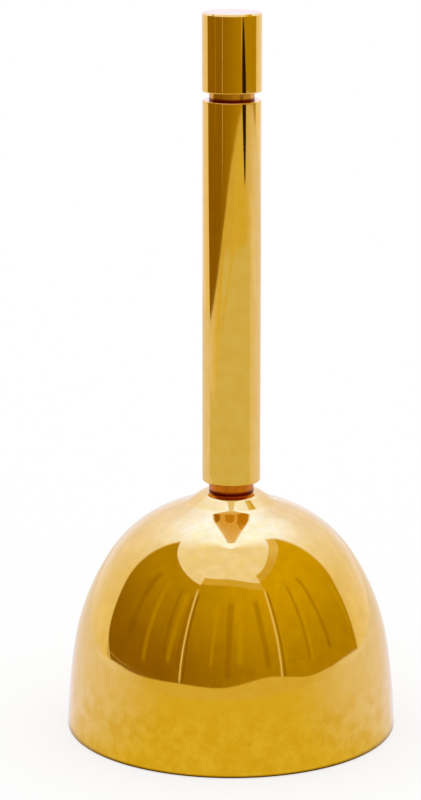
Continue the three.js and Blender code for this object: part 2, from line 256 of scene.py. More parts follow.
def redFibre(name, look):
    material, tree, shader, place = startMaterial(name)
    fleck = grain(tree, place, look["fleckSize"], 5.0, 0.65, 1.2)
    share = mapRange(tree, fleck, 0.45, 0.65)
    plug(tree, mixColour(tree, share, look["red"], look["worn"]), shader.inputs["Base Color"])
    plug(tree, mapRange(tree, fleck, 0.3, 0.7, 0.62, 0.85, "LINEAR"), shader.inputs["Roughness"])
    plug(tree, bump(tree, fleck, look["fibreHeight"]), shader.inputs["Normal"])
    shader.inputs["Specular IOR Level"].default_value = 0.35
    return material


polished = polishedBrass("polishedBrass", polishedLook)
turnedMetal = turnedBrass("turnedBrass", turnedLook)
steel = platedSteel("platedSteel", steelLook)
fibre = redFibre("redFibre", fibreLook)
print("materials made")


# Outlines of turned pieces, in millimetres: radius and height, and a round where there is a corner.
# A point without a round lies on an arc.

def offset(centre, radius, angle):
    return Vector((centre[0] + radius * cos(angle), centre[1] + radius * sin(angle)))


def arcPoints(centre, radius, start, end, steps):
    return [offset(centre, radius, start + (end - start) * i / steps) for i in range(steps + 1)]


def cornerArc(before, corner, after, radius, steps=5):
    back, on = before - corner, after - corner
    half = back.angle(on) / 2
    radius = min(radius, 0.45 * min(back.length, on.length) * tan(half))
    if radius < 0.01:
        return [corner]
    back.normalize()
    on.normalize()
    centre = corner + (back + on).normalized() * radius / sin(half)
    first = corner + back * radius / tan(half) - centre
    last = corner + on * radius / tan(half) - centre
    start = atan2(first.y, first.x)
    turned = (atan2(last.y, last.x) - start + pi) % (2 * pi) - pi
    return arcPoints(centre, radius, start, start + turned, steps)


# Points close to both ends of a straight run keep it flat when it is shaded smooth
def straightPoints(first, last, span, hold=0.05):
    length = (last - first).length
    if length < 3 * hold:
        return []
    steps = max(1, round((length - 2 * hold) / span))
    return [first.lerp(last, (hold + (length - 2 * hold) * i / steps) / length) for i in range(steps + 1)]


def softOutline(points, closed=True, span=2.5):
    count = len(points)
    places = [Vector(p[:2]) for p in points]
    cornered = [len(p) == 3 for p in points]
    runs = []
    for i, p in enumerate(points):
        if cornered[i] and (closed or 0 < i < count - 1):
            runs.append(cornerArc(places[i - 1], places[i], places[(i + 1) % count], p[2]))
        else:
            runs.append([places[i]])
    outline = []
    for i, run in enumerate(runs):
        outline += run
        on = (i + 1) % count
        if (closed or i < count - 1) and (cornered[i] or cornered[on]):
            outline += straightPoints(run[-1], runs[on][0], span)
    return outline


# The rows of an outline that pass a test: the first and the last
def rowsWhere(outline, test):
    rows = [i for i, p in enumerate(outline) if test(p.x, p.y)]
    return rows[0], rows[-1]


# Geometry Nodes: an outline turned round Z, with flats for a nut and a thread where one is cut

treeInputs = {
    "Outline": "Geometry", "Turns": "Int", "Closed": "Bool", "Skin": "Material",
    "Second Skin": "Material", "Second From": "Int", "Second To": "Int",
    "Flats": "Int", "Across Flats": "Float",
    "Thread Pitch": "Float", "Thread Depth": "Float", "Thread Radius": "Float",
    "Thread From": "Float", "Thread To": "Float",
}


def turningTree():
    tree = bpy.data.node_groups.new("turning", "GeometryNodeTree")
    for name, kind in treeInputs.items():
        tree.interface.new_socket(name, in_out="INPUT", socket_type="NodeSocket" + kind)
    tree.interface.new_socket("Shape", in_out="OUTPUT", socket_type="NodeSocketGeometry")
    given = tree.nodes.new("NodeGroupInput").outputs

    def m(operation, *values):
        return maths(tree, operation, *values)

    size = node(tree, "GeometryNodeAttributeDomainSize", Geometry=given["Outline"]).outputs["Point Count"]
    rows = m("ADD", size, given["Closed"])
    grid = node(tree, "GeometryNodeMeshGrid", VerticesX=m("ADD", given["Turns"], 1.0), VerticesY=rows)
    index = tree.nodes.new("GeometryNodeInputIndex").outputs[0]
    row = m("MODULO", index, rows)
    column = m("FLOOR", m("DIVIDE", m("ADD", index, 0.5), rows))
    sample = tree.nodes.new("GeometryNodeSampleIndex")
    sample.data_type = "FLOAT_VECTOR"
    plug(tree, given["Outline"], sample.inputs["Geometry"])
    plug(tree, tree.nodes.new("GeometryNodeInputPosition").outputs[0], sample.inputs["Value"])
    plug(tree, m("MODULO", m("ADD", row, 0.25), size), sample.inputs["Index"])
    outline = node(tree, "ShaderNodeSeparateXYZ", Vector=sample.outputs[0]).outputs
    angle = m("MULTIPLY", m("DIVIDE", column, given["Turns"]), 2 * pi)

    # A flat holds the radius to half the width across flats, over the cosine of the angle from its middle
    sector = m("DIVIDE", 2 * pi, m("MAXIMUM", given["Flats"], 1.0))
    half = m("DIVIDE", sector, 2.0)
    fromFlat = m("SUBTRACT", m("MODULO", m("ADD", angle, half), sector), half)
    flat = m("DIVIDE", m("DIVIDE", given["Across Flats"], 2.0), m("COSINE", fromFlat))
    noFlats = m("LESS_THAN", given["Flats"], 0.5)
    radius = m("MINIMUM", outline[0], m("ADD", flat, noFlats))

    # A thread's groove climbs one pitch for each turn, and stays between its two heights
    pitch = given["Thread Pitch"]
    climbed = m("SUBTRACT", m("DIVIDE", outline[2], pitch), m("DIVIDE", angle, 2 * pi))
    groove = m("SUBTRACT", 1.0, m("MULTIPLY", m("PINGPONG", climbed, 0.5), 2.0))
    above = m("SUBTRACT", outline[2], given["Thread From"])
    below = m("SUBTRACT", given["Thread To"], outline[2])
    fade = m("MINIMUM", m("MAXIMUM", m("DIVIDE", m("MINIMUM", above, below), pitch), 0.0), 1.0)
    cut = m("MULTIPLY", m("MULTIPLY", groove, fade), given["Thread Depth"])
    outer = m("GREATER_THAN", outline[0], m("SUBTRACT", given["Thread Radius"], 0.00001))
    radius = m("SUBTRACT", radius, m("MULTIPLY", cut, outer))

    place = node(tree, "ShaderNodeCombineXYZ", X=m("MULTIPLY", radius, m("COSINE", angle)),
                 Y=m("MULTIPLY", radius, m("SINE", angle)), Z=outline[2]).outputs[0]
    shaped = node(tree, "GeometryNodeSetPosition", Geometry=grid.outputs["Mesh"], Position=place).outputs[0]
    smooth = node(tree, "GeometryNodeSetShadeSmooth", Geometry=shaped).outputs[0]
    skinned = node(tree, "GeometryNodeSetMaterial", Geometry=smooth, Material=given["Skin"]).outputs[0]
    faceRow = m("MODULO", index, m("SUBTRACT", rows, 1.0))
    second = m("MULTIPLY", m("GREATER_THAN", faceRow, m("SUBTRACT", given["Second From"], 0.5)),
               m("LESS_THAN", faceRow, m("SUBTRACT", given["Second To"], 0.5)))
    lined = node(tree, "GeometryNodeSetMaterial", Geometry=skinned, Selection=second,
                 Material=given["Second Skin"])
    merged = node(tree, "GeometryNodeMergeByDistance", Geometry=lined.outputs[0], Distance=1e-6).outputs[0]
    real = node(tree, "GeometryNodeRealizeInstances", Geometry=merged).outputs[0]
    plug(tree, real, tree.nodes.new("NodeGroupOutput").inputs[0])
    return tree


turning = turningTree()


def plainMesh(piece):
    evaluated = piece.evaluated_get(bpy.context.evaluated_depsgraph_get())
    mesh = bpy.data.meshes.new_from_object(evaluated)
    mesh.name = piece.name
    piece.modifiers.clear()
    piece.data = mesh


# Lengths are given in millimetres here, as the outline's are
def turn(name, outline, skin, turns=96, closed=True, along=None, **extra):
    count = len(outline)
    links = [(i, (i + 1) % count) for i in range(count if closed else count - 1)]
    base = bpy.data.meshes.new(name)
    base.from_pydata([(p.x * mm, 0, p.y * mm) for p in outline], links, [])
    piece = addObject(name, base)
    values = {
        "Turns": turns, "Closed": closed, "Skin": skin, "Second Skin": skin, "Second From": 0, "Second To": 0,
        "Flats": 0, "Across Flats": 0.0, "Thread Pitch": 1.0, "Thread Depth": 0.0, "Thread Radius": 1.0,
        "Thread From": 0.0, "Thread To": 0.0,
    }
    values.update({spaced(key).title(): value for key, value in extra.items()})
    modifier = piece.modifiers.new("turning", "NODES")
    modifier.node_group = turning
    for item in turning.interface.items_tree:
        if item.in_out == "INPUT" and item.name in values:
            value = values[item.name]
            modifier[item.identifier] = value * mm if isinstance(value, float) else value
    plainMesh(piece)
    if along is not None:
        piece.data.transform(along)
    return piece


def fit(piece, nodeName):
    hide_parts(nodeName)
    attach(piece, bodyOf[nodeName])


# A node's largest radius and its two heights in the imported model, in millimetres
def reach(nodeName):
    low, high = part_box(nodeName)
    return high.x / mm, low.z / mm, high.z / mm


# The bell: wall, shoulder and crown are three tangent arcs. The crown's slope keeps its angle to the foot
# of a steeper cone, which rounds over to the seat. Each end is the angle that the surface's normal has
# turned up.

bellCup = {
    "rimLean": 1.07, "wallArc": 138.0, "wallEnd": 9.4, "shoulderArc": 53.0, "shoulderEnd": 33.3,
    "crownArc": 30.2, "crownEnd": 70.4, "coneFoot": 10.3, "coneHeight": 2.7, "coneRound": 4.0,
    "footRound": 5.0, "seatRadius": 5.2, "wall": 2.2, "lip": 3.4, "bowHeight": 10.0,
    "lipOuterRound": 0.5, "lipInnerRound": 0.8, "ceilingRadius": 7.0, "bore": 3.2, "edgeRound": 0.12,
    "turns": 256,
}


def makeBell(b):
    rimRadius = reach("bell_cup")[0]
    lean, wallEnd, shoulderEnd, crownEnd = (radians(b[k]) for k in ("rimLean", "wallEnd", "shoulderEnd",
                                                                    "crownEnd"))
    wallCentre = offset((rimRadius, 0), -b["wallArc"], lean)
    shoulderCentre = offset(wallCentre, b["wallArc"] - b["shoulderArc"], wallEnd)
    crownCentre = offset(shoulderCentre, b["shoulderArc"] - b["crownArc"], shoulderEnd)
    slopeFoot = offset(crownCentre, b["crownArc"], crownEnd)
    coneFoot = Vector((b["coneFoot"], slopeFoot.y + (slopeFoot.x - b["coneFoot"]) / tan(crownEnd)))
    seat = coneFoot.y + b["coneHeight"]
    roundCentre = Vector((b["seatRadius"], seat - b["coneRound"]))
    toFoot = coneFoot - roundCentre
    coneTilt = atan2(toFoot.y, toFoot.x) + acos(b["coneRound"] / toFoot.length)
    innerCrown = b["crownArc"] - b["wall"]
    ceilingAngle = acos((b["ceilingRadius"] - crownCentre.x) / innerCrown)
    ceiling = crownCentre.y + innerCrown * sin(ceilingAngle)

    def wallRadius(z):
        return wallCentre.x + sqrt(b["wallArc"] ** 2 - (z - wallCentre.y) ** 2)

    # The sound bow swells by a half wave from the wall's thickness to the lip's
    def bowPoint(share):
        z = b["lipInnerRound"] + (b["bowHeight"] - b["lipInnerRound"]) * share
        thickness = b["wall"] + (b["lip"] - b["wall"]) * (1 + cos(pi * share)) / 2
        return Vector((wallRadius(z) - thickness, z))

    lipCorner = (wallRadius(b["lipOuterRound"]) - b["lipOuterRound"], b["lipOuterRound"])
    lipBend = (rimRadius - b["lip"] + b["lipInnerRound"], b["lipInnerRound"])
    bowTop = asin((b["bowHeight"] - wallCentre.y) / (b["wallArc"] - b["wall"]))
    edge = b["edgeRound"]
    outside = (arcPoints(lipCorner, b["lipOuterRound"], radians(-90), lean, 6)
               + arcPoints(wallCentre, b["wallArc"], lean, wallEnd, 22)[1:]
               + arcPoints(shoulderCentre, b["shoulderArc"], wallEnd, shoulderEnd, 26)[1:]
               + arcPoints(crownCentre, b["crownArc"], shoulderEnd, crownEnd, 26)[1:])
    cone = [(*coneFoot, b["footRound"])] + [tuple(p) for p in arcPoints(roundCentre, b["coneRound"], coneTilt,
                                                                        pi / 2, 10)]
    bore = [(b["bore"], seat, edge), (b["bore"], ceiling, edge), (b["ceilingRadius"], ceiling, edge)]
    inside = (arcPoints(crownCentre, innerCrown, ceilingAngle, shoulderEnd, 22)[1:]
              + arcPoints(shoulderCentre, b["shoulderArc"] - b["wall"], shoulderEnd, wallEnd, 22)[1:]
              + arcPoints(wallCentre, b["wallArc"] - b["wall"], wallEnd, bowTop, 12)[1:]
              + [bowPoint(1 - i / 14) for i in range(1, 14)]
              + arcPoints(lipBend, b["lipInnerRound"], radians(180), radians(270), 6))
    rimFlat = [(*outside[0], 0)], [(*inside[-1], 0)]
    outline = softOutline(rimFlat[0] + [tuple(p) for p in outside[1:]] + cone + bore
                          + [tuple(p) for p in inside[:-1]] + rimFlat[1])
    boreFirst = rowsWhere(outline, lambda r, z: z > seat - 0.01 and r < b["bore"] + 1)[0]
    fit(turn("bellShell", outline, polished, b["turns"], secondSkin=turnedMetal, secondFrom=boreFirst,
             secondTo=len(outline)), "bell_cup")
    return [(wallCentre, b["wallArc"], wallEnd), (shoulderCentre, b["shoulderArc"], shoulderEnd),
            (crownCentre, b["crownArc"], crownEnd)]


bellArcs = makeBell(bellCup)
print("bell made")


# Handle: lower neck, grip, upper neck and cap

handle = {
    "neck": 5.15, "spigot": 4.2, "bore": 3.2, "gripBore": 4.3, "spigotLength": 8.0,
    "capSpigotLength": 1.5, "endGap": 0.3, "capTop": 0.45, "edge": 0.25,
    "rodInCap": 11.5, "tapped": 3.1, "turns": 144,
}


def makeHandle(h):
    gripRadius, gripFoot, gripTop = reach("handle_tube")
    capRadius, capFoot, capTop = reach("handle_cap")
    seat = reach("crown_collar")[1]
    edge = h["edge"]

    spigotTop = gripFoot + h["spigotLength"]
    lower = softOutline([
        (h["bore"], seat, 0.1), (h["neck"], seat, 0.12), (h["neck"], gripFoot, 0.05),
        (h["spigot"], gripFoot, 0.05),
        (h["spigot"], spigotTop, edge), (h["bore"], spigotTop, 0.1),
    ])
    lowerMetal = shadedNeckBrass("lowerShadedNeckBrass", neckLook, neckLook["lower"], seat)
    fit(turn("lowerNeck", lower, lowerMetal, h["turns"]), "crown_collar")

    grip = softOutline([
        (h["gripBore"], gripFoot, 0.05), (gripRadius, gripFoot, edge), (gripRadius, gripTop, edge),
        (h["gripBore"], gripTop, 0.05),
    ], span=3.0)
    fit(turn("gripTube", grip, polished, h["turns"]), "handle_tube")

    foot = gripTop - h["spigotLength"]
    top = capFoot + h["capSpigotLength"]
    upper = softOutline([
        (h["bore"], foot, 0.1), (h["spigot"], foot, edge), (h["spigot"], gripTop, 0.05),
        (h["neck"], gripTop, 0.05),
        (h["neck"], capFoot, 0.05), (h["spigot"], capFoot, 0.05), (h["spigot"], top, 0.1),
        (h["bore"], top, 0.1),
    ])
    upperMetal = shadedNeckBrass("upperShadedNeckBrass", neckLook, neckLook["upper"], gripTop)
    fit(turn("upperNeck", upper, upperMetal, h["turns"]), "cap_collar")

    counterbore = top + h["endGap"]
    boreTop = capFoot + h["rodInCap"] + h["endGap"]
    chamfer = h["capTop"]
    cap = softOutline([
        (0, boreTop), (h["tapped"], boreTop, 0.1), (h["tapped"], counterbore, 0.1),
        (h["gripBore"], counterbore, 0.1),
        (h["gripBore"], capFoot, 0.05), (capRadius, capFoot, edge), (capRadius, capTop - chamfer, 0.12),
        (capRadius - chamfer, capTop, 0.12), (0, capTop),
    ], closed=False, span=1.0)
    fit(turn("topCap", cap, polished, h["turns"], closed=False), "handle_cap")


makeHandle(handle)
print("handle made")


# The rod that ties the handle to the bell, and the stack under the crown

stack = {
    "bore": 3.2, "rodChamfer": 0.4, "rodThread": 7.0, "rodPitch": 1.0, "rodThreadDepth": 0.55,
    "tapped": 1.55, "tapDepth": 6.3, "springSlit": 0.8, "springSlant": 18.0,
    "nutAcross": 10.0, "nutBore": 3.1, "washerEdge": 0.08, "turns": 96,
}


def ringOutline(bore, radius, foot, top, edge):
    return softOutline([(bore, foot, edge), (radius, foot, edge), (radius, top, edge), (bore, top, edge)])


# A nut's corners are bevelled by a cone, and its bore opens with a small chamfer
def hexNut(name, across, bore, foot, top, skin, edge):
    corner = across / 2 / cos(radians(30))
    bevel = (corner - across / 2) * tan(radians(30))
    chamfer = 0.25
    outline = softOutline([
        (bore + chamfer, foot, edge), (across / 2, foot, edge), (corner, foot + bevel, 0),
        (corner, top - bevel, 0),
        (across / 2, top, edge), (bore + chamfer, top, edge), (bore, top - chamfer, 0),
        (bore, foot + chamfer, 0),
    ], span=0.12)
    return turn(name, outline, skin, 144, flats=6, acrossFlats=float(across))


def cutAway(piece, tool, operation="DIFFERENCE"):
    modifier = piece.modifiers.new("cut", "BOOLEAN")
    modifier.operation = operation
    modifier.solver = "EXACT"
    modifier.object = tool
    plainMesh(piece)
    piece.data.set_sharp_from_angle(angle=radians(35))
    bpy.data.objects.remove(tool)


def blockTool(size, place):
    corners = [Vector((x, y, z)) for z in (-0.5, 0.5) for y in (-0.5, 0.5) for x in (-0.5, 0.5)]
    faces = [(0, 2, 3, 1), (4, 5, 7, 6), (0, 1, 5, 4), (2, 6, 7, 3), (0, 4, 6, 2), (1, 3, 7, 5)]
    mesh = bpy.data.meshes.new("cutter")
    mesh.from_pydata([place @ (c * Vector(size) * mm) for c in corners], [], faces)
    return addObject("cutter", mesh)


def makeStack(s):
    rodRadius, rodFoot, rodTop = reach("tie_rod")
    chamfer = s["rodChamfer"]
    tapTop = rodFoot + s["tapDepth"]
    threadTop = rodFoot + s["rodThread"]
    rod = softOutline([
        (0, tapTop), (s["tapped"], tapTop, 0.05), (s["tapped"], rodFoot, 0.08),
        (rodRadius - chamfer, rodFoot, 0.05),
        (rodRadius, rodFoot + chamfer, 0.05), (rodRadius, threadTop, 0), (rodRadius, rodTop - 1, 0),
        (rodRadius, rodTop - chamfer, 0.05), (rodRadius - chamfer, rodTop, 0.05), (0, rodTop),
    ], closed=False, span=0.12)
    fit(turn("throughRod", rod, steel, 48, closed=False, threadPitch=s["rodPitch"],
             threadDepth=s["rodThreadDepth"], threadRadius=rodRadius, threadFrom=rodFoot + chamfer,
             threadTo=threadTop), "tie_rod")

    edge = s["washerEdge"]
    for name, nodeName, skin in (("fibreDisc", "fibre_washer", fibre), ("crownDisc", "crown_washer", steel)):
        radius, foot, top = reach(nodeName)
        fit(turn(name, ringOutline(s["bore"], radius, foot, top, edge), skin, s["turns"]), nodeName)

    _, foot, top = reach("spring_washer")
    radius = -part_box("spring_washer")[0].x / mm
    spring = turn("springDisc", ringOutline(s["bore"], radius, foot, top, edge), steel, s["turns"])
    middle = Matrix.Translation((radius * mm, 0, (foot + top) / 2 * mm))
    slit = blockTool((2 * radius, s["springSlit"], 6),
                     middle @ Matrix.Rotation(radians(s["springSlant"]), 4, "X"))
    cutAway(spring, slit)
    fit(spring, "spring_washer")

    _, foot, top = reach("crown_nut")
    fit(hexNut("crownNut", s["nutAcross"], s["nutBore"], foot, top, steel, 0.1), "crown_nut")


makeStack(stack)
print("rod and crown stack made")


# Swivel: washer and slotted shoulder screw

swivel = {
    "washerBore": 2.2, "shoulder": 2.0, "headHeight": 1.3, "thread": 1.45, "threadPitch": 0.5,
    "threadDepth": 0.28,
    "slotWidth": 0.8, "slotDepth": 0.6, "headRound": 0.25,
}


def makeSwivel(s):
    radius, foot, shoulderTop = reach("swivel_washer")
    disc = ringOutline(s["washerBore"], radius, foot, shoulderTop, 0.06)
    fit(turn("swivelDisc", disc, fibre, 72), "swivel_washer")

    radius, foot, top = reach("swivel_screw")
    headTop = foot + s["headHeight"]
    outline = softOutline([
        (0, foot), (radius, foot, s["headRound"]), (radius, headTop, 0.08), (s["shoulder"], headTop, 0.08),
        (s["shoulder"], shoulderTop, 0.08), (s["thread"], shoulderTop, 0.05), (s["thread"], top, 0.2),
        (0, top),
    ], closed=False, span=0.07)
    screw = turn("shoulderScrew", outline, steel, 72, closed=False, threadPitch=s["threadPitch"],
                 threadDepth=s["threadDepth"], threadRadius=s["thread"], threadFrom=shoulderTop, threadTo=top)
    cutAway(screw, blockTool((4 * radius, s["slotWidth"], 2 * s["slotDepth"]),
                             Matrix.Translation((0, 0, foot * mm))))
    fit(screw, "swivel_screw")


makeSwivel(swivel)
print("swivel made")


# Stirrup: a bent strip with round leg ends, and its riveted pin with a spacer on each side of the eye

stirrup = {
    "thickness": 1.0, "bend": 0.5, "swivelHole": 2.1, "pinHole": 1.3, "edge": 0.14, "pin": 1.2,
    "headHeight": 0.8,
    "headRound": 0.45, "washerBore": 1.3, "bendSteps": 14, "endSteps": 40,
}


def acrossY(height):
    return Matrix.Translation((0, 0, height * mm)) @ Matrix.Rotation(radians(-90), 4, "X")


def barTool(radius, half, place, steps=64):
    outline = [Vector((0, -half)), Vector((radius, -half)), Vector((radius, half)), Vector((0, half))]
    return turn("cutter", outline, turnedMetal, steps, closed=False, along=place)


# A flat section with thickness along the third axis; the axes are given in order
def slab(name, section, axes, half):
    count = len(section)
    places = []
    for side in (-half, half):
        for a, b in section:
            place = Vector((0, 0, 0))
            place[axes[0]], place[axes[1]], place[axes[2]] = a * mm, b * mm, side * mm
            places.append(place)
    faces = [tuple(range(count))[::-1], tuple(range(count, 2 * count))]
    faces += [(i, (i + 1) % count, (i + 1) % count + count, i + count) for i in range(count)]
    mesh = bpy.data.meshes.new(name)
    mesh.from_pydata(places, [], faces)
    return addObject(name, mesh)


def makeStirrup(s):
    low, high = (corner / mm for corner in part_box("clapper_stirrup"))
    half, top = high.y, high.z
    width = 2 * high.x
    pinHeight = low.z + high.x
    inner = half - s["thickness"]
    bendY, bendZ = inner - s["bend"], top - s["thickness"] - s["bend"]
    foot = pinHeight - width
    outer, steps = s["bend"] + s["thickness"], s["bendSteps"]
    section = ([Vector((inner, foot)), Vector((half, foot))]
               + arcPoints((bendY, bendZ), outer, 0, pi / 2, steps)
               + arcPoints((-bendY, bendZ), outer, pi / 2, pi, steps)
               + [Vector((-half, foot)), Vector((-inner, foot))]
               + arcPoints((-bendY, bendZ), s["bend"], pi, pi / 2, steps)
               + arcPoints((bendY, bendZ), s["bend"], pi / 2, 0, steps))
    strip = slab("bentStrip", section, (1, 2, 0), high.x)
    side = ([Vector((high.x, top + width)), Vector((-high.x, top + width))]
            + arcPoints((0, pinHeight), high.x, pi, 2 * pi, s["endSteps"]))
    ends = slab("cutter", side, (0, 2, 1), 2 * half)
    ends.data.flip_normals()
    cutAway(strip, ends, "INTERSECT")
    cutAway(strip, barTool(s["swivelHole"], width, Matrix.Translation((0, 0, top * mm))))
    cutAway(strip, barTool(s["pinHole"], width, acrossY(pinHeight), 48))
    strip.data.materials.clear()
    strip.data.materials.append(turnedMetal)
    for face in strip.data.polygons:
        face.material_index = 0
        face.use_smooth = True
    bevel = strip.modifiers.new("edges", "BEVEL")
    bevel.width, bevel.segments, bevel.angle_limit = s["edge"] * mm, 3, radians(40)
    bevel.limit_method = "ANGLE"
    bevel.harden_normals = True
    plainMesh(strip)
    fit(strip, "clapper_stirrup")

    low, high = (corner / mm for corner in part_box("stirrup_pin"))
    end, head = high.y, high.x
    neck = end - s["headHeight"]
    rounded = s["headRound"]
    outline = softOutline([
        (0, -end), (head, -end, rounded), (head, -neck, 0.08), (s["pin"], -neck, 0.05),
        (s["pin"], neck, 0.05), (head, neck, 0.08), (head, end, rounded), (0, end),
    ], closed=False, span=0.6)
    fit(turn("rivetPin", outline, turnedMetal, 72, closed=False, along=acrossY(pinHeight)), "stirrup_pin")

    for nodeName, name in (("pin_washer_left", "leftSpacer"), ("pin_washer_right", "rightSpacer")):
        low, high = (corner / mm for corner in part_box(nodeName))
        disc = ringOutline(s["washerBore"], high.x, -(high.y - low.y) / 2, (high.y - low.y) / 2, 0.1)
        place = Matrix.Translation((0, (low.y + high.y) / 2 * mm, 0)) @ acrossY(pinHeight)
        fit(turn(name, disc, fibre, 72, along=place), nodeName)
    return pinHeight


pinHeight = makeStirrup(stirrup)
print("stirrup made")


# Clapper: shank with a cross-drilled eye, thin nut and ball

clapper = {
    "shank": 1.5, "eyeHole": 1.3, "threadLength": 11.5, "threadPitch": 0.5, "threadDepth": 0.28,
    "nutAcross": 5.5, "tapped": 1.6, "shankGap": 0.3,
}


def makeClapper(c):
    low, high = (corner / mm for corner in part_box("clapper_shank"))
    foot, shank = low.z, c["shank"]
    threadTop = foot + c["threadLength"]
    rod = softOutline([(0, foot), (shank, foot, 0.3), (shank, threadTop, 0), (shank, pinHeight - 1, 0),
                       (0, pinHeight - 1)], closed=False, span=0.07)
    piece = turn("clapperRod", rod, turnedMetal, 64, closed=False, threadPitch=c["threadPitch"],
                 threadDepth=c["threadDepth"], threadRadius=shank, threadFrom=foot, threadTo=threadTop)
    barrel = softOutline([(0, -high.y), (high.x, -high.y, 0.3), (high.x, high.y, 0.3), (0, high.y)],
                         closed=False, span=0.5)
    cutAway(piece, turn("cutter", barrel, turnedMetal, 96, closed=False, along=acrossY(pinHeight)), "UNION")
    cutAway(piece, barTool(c["eyeHole"], 2 * high.y, acrossY(pinHeight)))
    fit(piece, "clapper_shank")

    _, nutFoot, nutTop = reach("ball_lock_nut")
    nut = hexNut("lockNut", c["nutAcross"], c["tapped"], nutFoot, nutTop, turnedMetal, 0.06)
    fit(nut, "ball_lock_nut")

    radius, bottom, spotFace = reach("clapper_ball")
    centre = bottom + radius
    spotAngle = asin((spotFace - centre) / radius)
    tapFoot = foot - c["shankGap"]
    sphere = [tuple(p) for p in arcPoints((0, centre), radius, -pi / 2, spotAngle, 56)[1:-1]]
    ball = softOutline([(0, bottom)] + sphere + [
        (radius * cos(spotAngle), spotFace, 0.15), (c["tapped"], spotFace, 0.1), (c["tapped"], tapFoot, 0.1),
        (0, tapFoot),
    ], closed=False, span=1.0)
    fit(turn("strikingBall", ball, turnedMetal, 128, closed=False), "clapper_ball")


makeClapper(clapper)
print("clapper made")


# Soft light: a round tent of pale cloth with a wide front opening onto a dim, warm room. Only the polish
# sees it: the camera doesn't, and the white world lights the rest. Angles are in degrees, as the bell
# mirrors them to the camera, with azimuth 0 towards the camera. Lengths are in metres.

tent = {
    "radius": 0.8, "middle": (0.3, -0.15), "headRadius": 0.48, "height": 0.75, "headAt": 50.0,
    "foot": -5.0, "fine": 16, "fade": 3, "rows": 40, "step": 20, "cloudDepth": 0.06, "cloudSize": 0.11,
}
# A light above 1 washes out the brass's own colour
glow = {
    "dark": (0.03, 0.015, 0.0), "dim": (0.26, 0.13, 0.0), "warm": (0.74, 0.57, 0.0),
    "wheat": (0.82, 0.72, 0.20),
    "cream": (0.98, 0.93, 0.70), "milk": (1.10, 1.25, 2.2), "bright": (1.25, 1.8, 5.5),
}


# How the tones change. A pair holds the degrees where a change starts and ends.
shading = {
    "clothBack": (90, 160), "clothRise": (10, 70), "clothFront": 0.4, "clothLift": 0.2,
    "roomSides": (-70, 60), "roomRise": (0, 50), "roomLeast": 0.1, "roomAcross": 0.45, "roomUp": 0.5,
    "hemSides": (60, 120), "hemLeast": 0.25, "hemMore": 0.5, "lipSides": (55, 110), "lipMore": 0.6,
}


def lightMaterial(name, depth=0.0, size=1.0, oneSided=False):
    material = bpy.data.materials.new(name)
    material.use_nodes = True
    tree = material.node_tree
    tree.nodes.clear()
    light = tree.nodes.new("ShaderNodeAttribute")
    light.attribute_name = "light"
    shine = node(tree, "ShaderNodeEmission", Color=light.outputs["Color"], Strength=1.0)
    if depth:
        soft = grain(tree, tree.nodes.new("ShaderNodeTexCoord").outputs["Object"], size, 3.0, 0.6)
        plug(tree, mapRange(tree, soft, 0.3, 0.7, 1 - depth, 1 + depth, "LINEAR"), shine.inputs["Strength"])
    share = light.outputs["Alpha"]
    if oneSided:
        back = tree.nodes.new("ShaderNodeNewGeometry").outputs["Backfacing"]
        share = maths(tree, "SUBTRACT", share, back)
    clear = tree.nodes.new("ShaderNodeBsdfTransparent")
    shown = tree.nodes.new("ShaderNodeMixShader")
    for value, socket in zip((share, clear.outputs[0], shine.outputs[0]), shown.inputs):
        plug(tree, value, socket)
    out = tree.nodes.new("ShaderNodeOutputMaterial")
    tree.links.new(shown.outputs[0], out.inputs["Surface"])
    return material


plainLight = lightMaterial("plainLight")
topLight = lightMaterial("topLight", oneSided=True)
clothLight = lightMaterial("clothLight", tent["cloudDepth"], tent["cloudSize"])


# Stage meshes carry their light as a colour on each point
def litMesh(name, places, faces, lights, material):
    mesh = bpy.data.meshes.new(name)
    mesh.from_pydata(places, [], faces)
    colours = mesh.color_attributes.new("light", "FLOAT_COLOR", "POINT")
    for spot, light in zip(colours.data, lights):
        spot.color = (*light, 1)[:4]
    mesh.materials.append(material)
    made = addObject(name, mesh)
    return made


def seenByPolishOnly(panel):
    panel.visible_camera = panel.visible_diffuse = panel.visible_shadow = False
    panel.visible_transmission = panel.visible_volume_scatter = False


def smoothShare(value, low, high):
    t = min(1.0, max(0.0, (value - low) / (high - low)))
    return t * t * (3 - 2 * t)


def mixLight(first, second, share):
    return Vector(glow[first]).lerp(Vector(glow[second]), share)


# The cloth is palest low in front, and brightest high at the back
def clothTone(azimuth, elevation):
    back = smoothShare(abs(azimuth), *shading["clothBack"])
    front = shading["clothFront"]
    rise = smoothShare(elevation, *shading["clothRise"])
    level = min(1.0, rise * (front + (1 - front) * back) + shading["clothLift"] * back)
    if level < 0.5:
        return mixLight("cream", "milk", 2 * level)
    return mixLight("milk", "bright", 2 * level - 1)


# The room gets warmer upwards, and away from its dim left side
def roomTone(azimuth, elevation):
    across = shading["roomAcross"] * smoothShare(azimuth, *shading["roomSides"])
    up = shading["roomUp"] * smoothShare(elevation, *shading["roomRise"])
    return mixLight("dim", "warm", shading["roomLeast"] + across + up)


def hemTone(azimuth, elevation):
    side = smoothShare(abs(azimuth), *shading["hemSides"])
    return mixLight("warm", "cream", shading["hemLeast"] + shading["hemMore"] * side)


# The tent's foot is a circle round its own middle, and its head a smaller one round the bell
def tentDistance(azimuth, elevation):
    middle = Vector(tent["middle"])
    along = Vector((sin(radians(azimuth)), -cos(radians(azimuth)))).dot(middle)
    foot = along + sqrt(tent["radius"] ** 2 - middle.length_squared + along ** 2)
    share = min(1.0, max(0.0, elevation / tent["headAt"]))
    return foot + (tent["headRadius"] - foot) * share


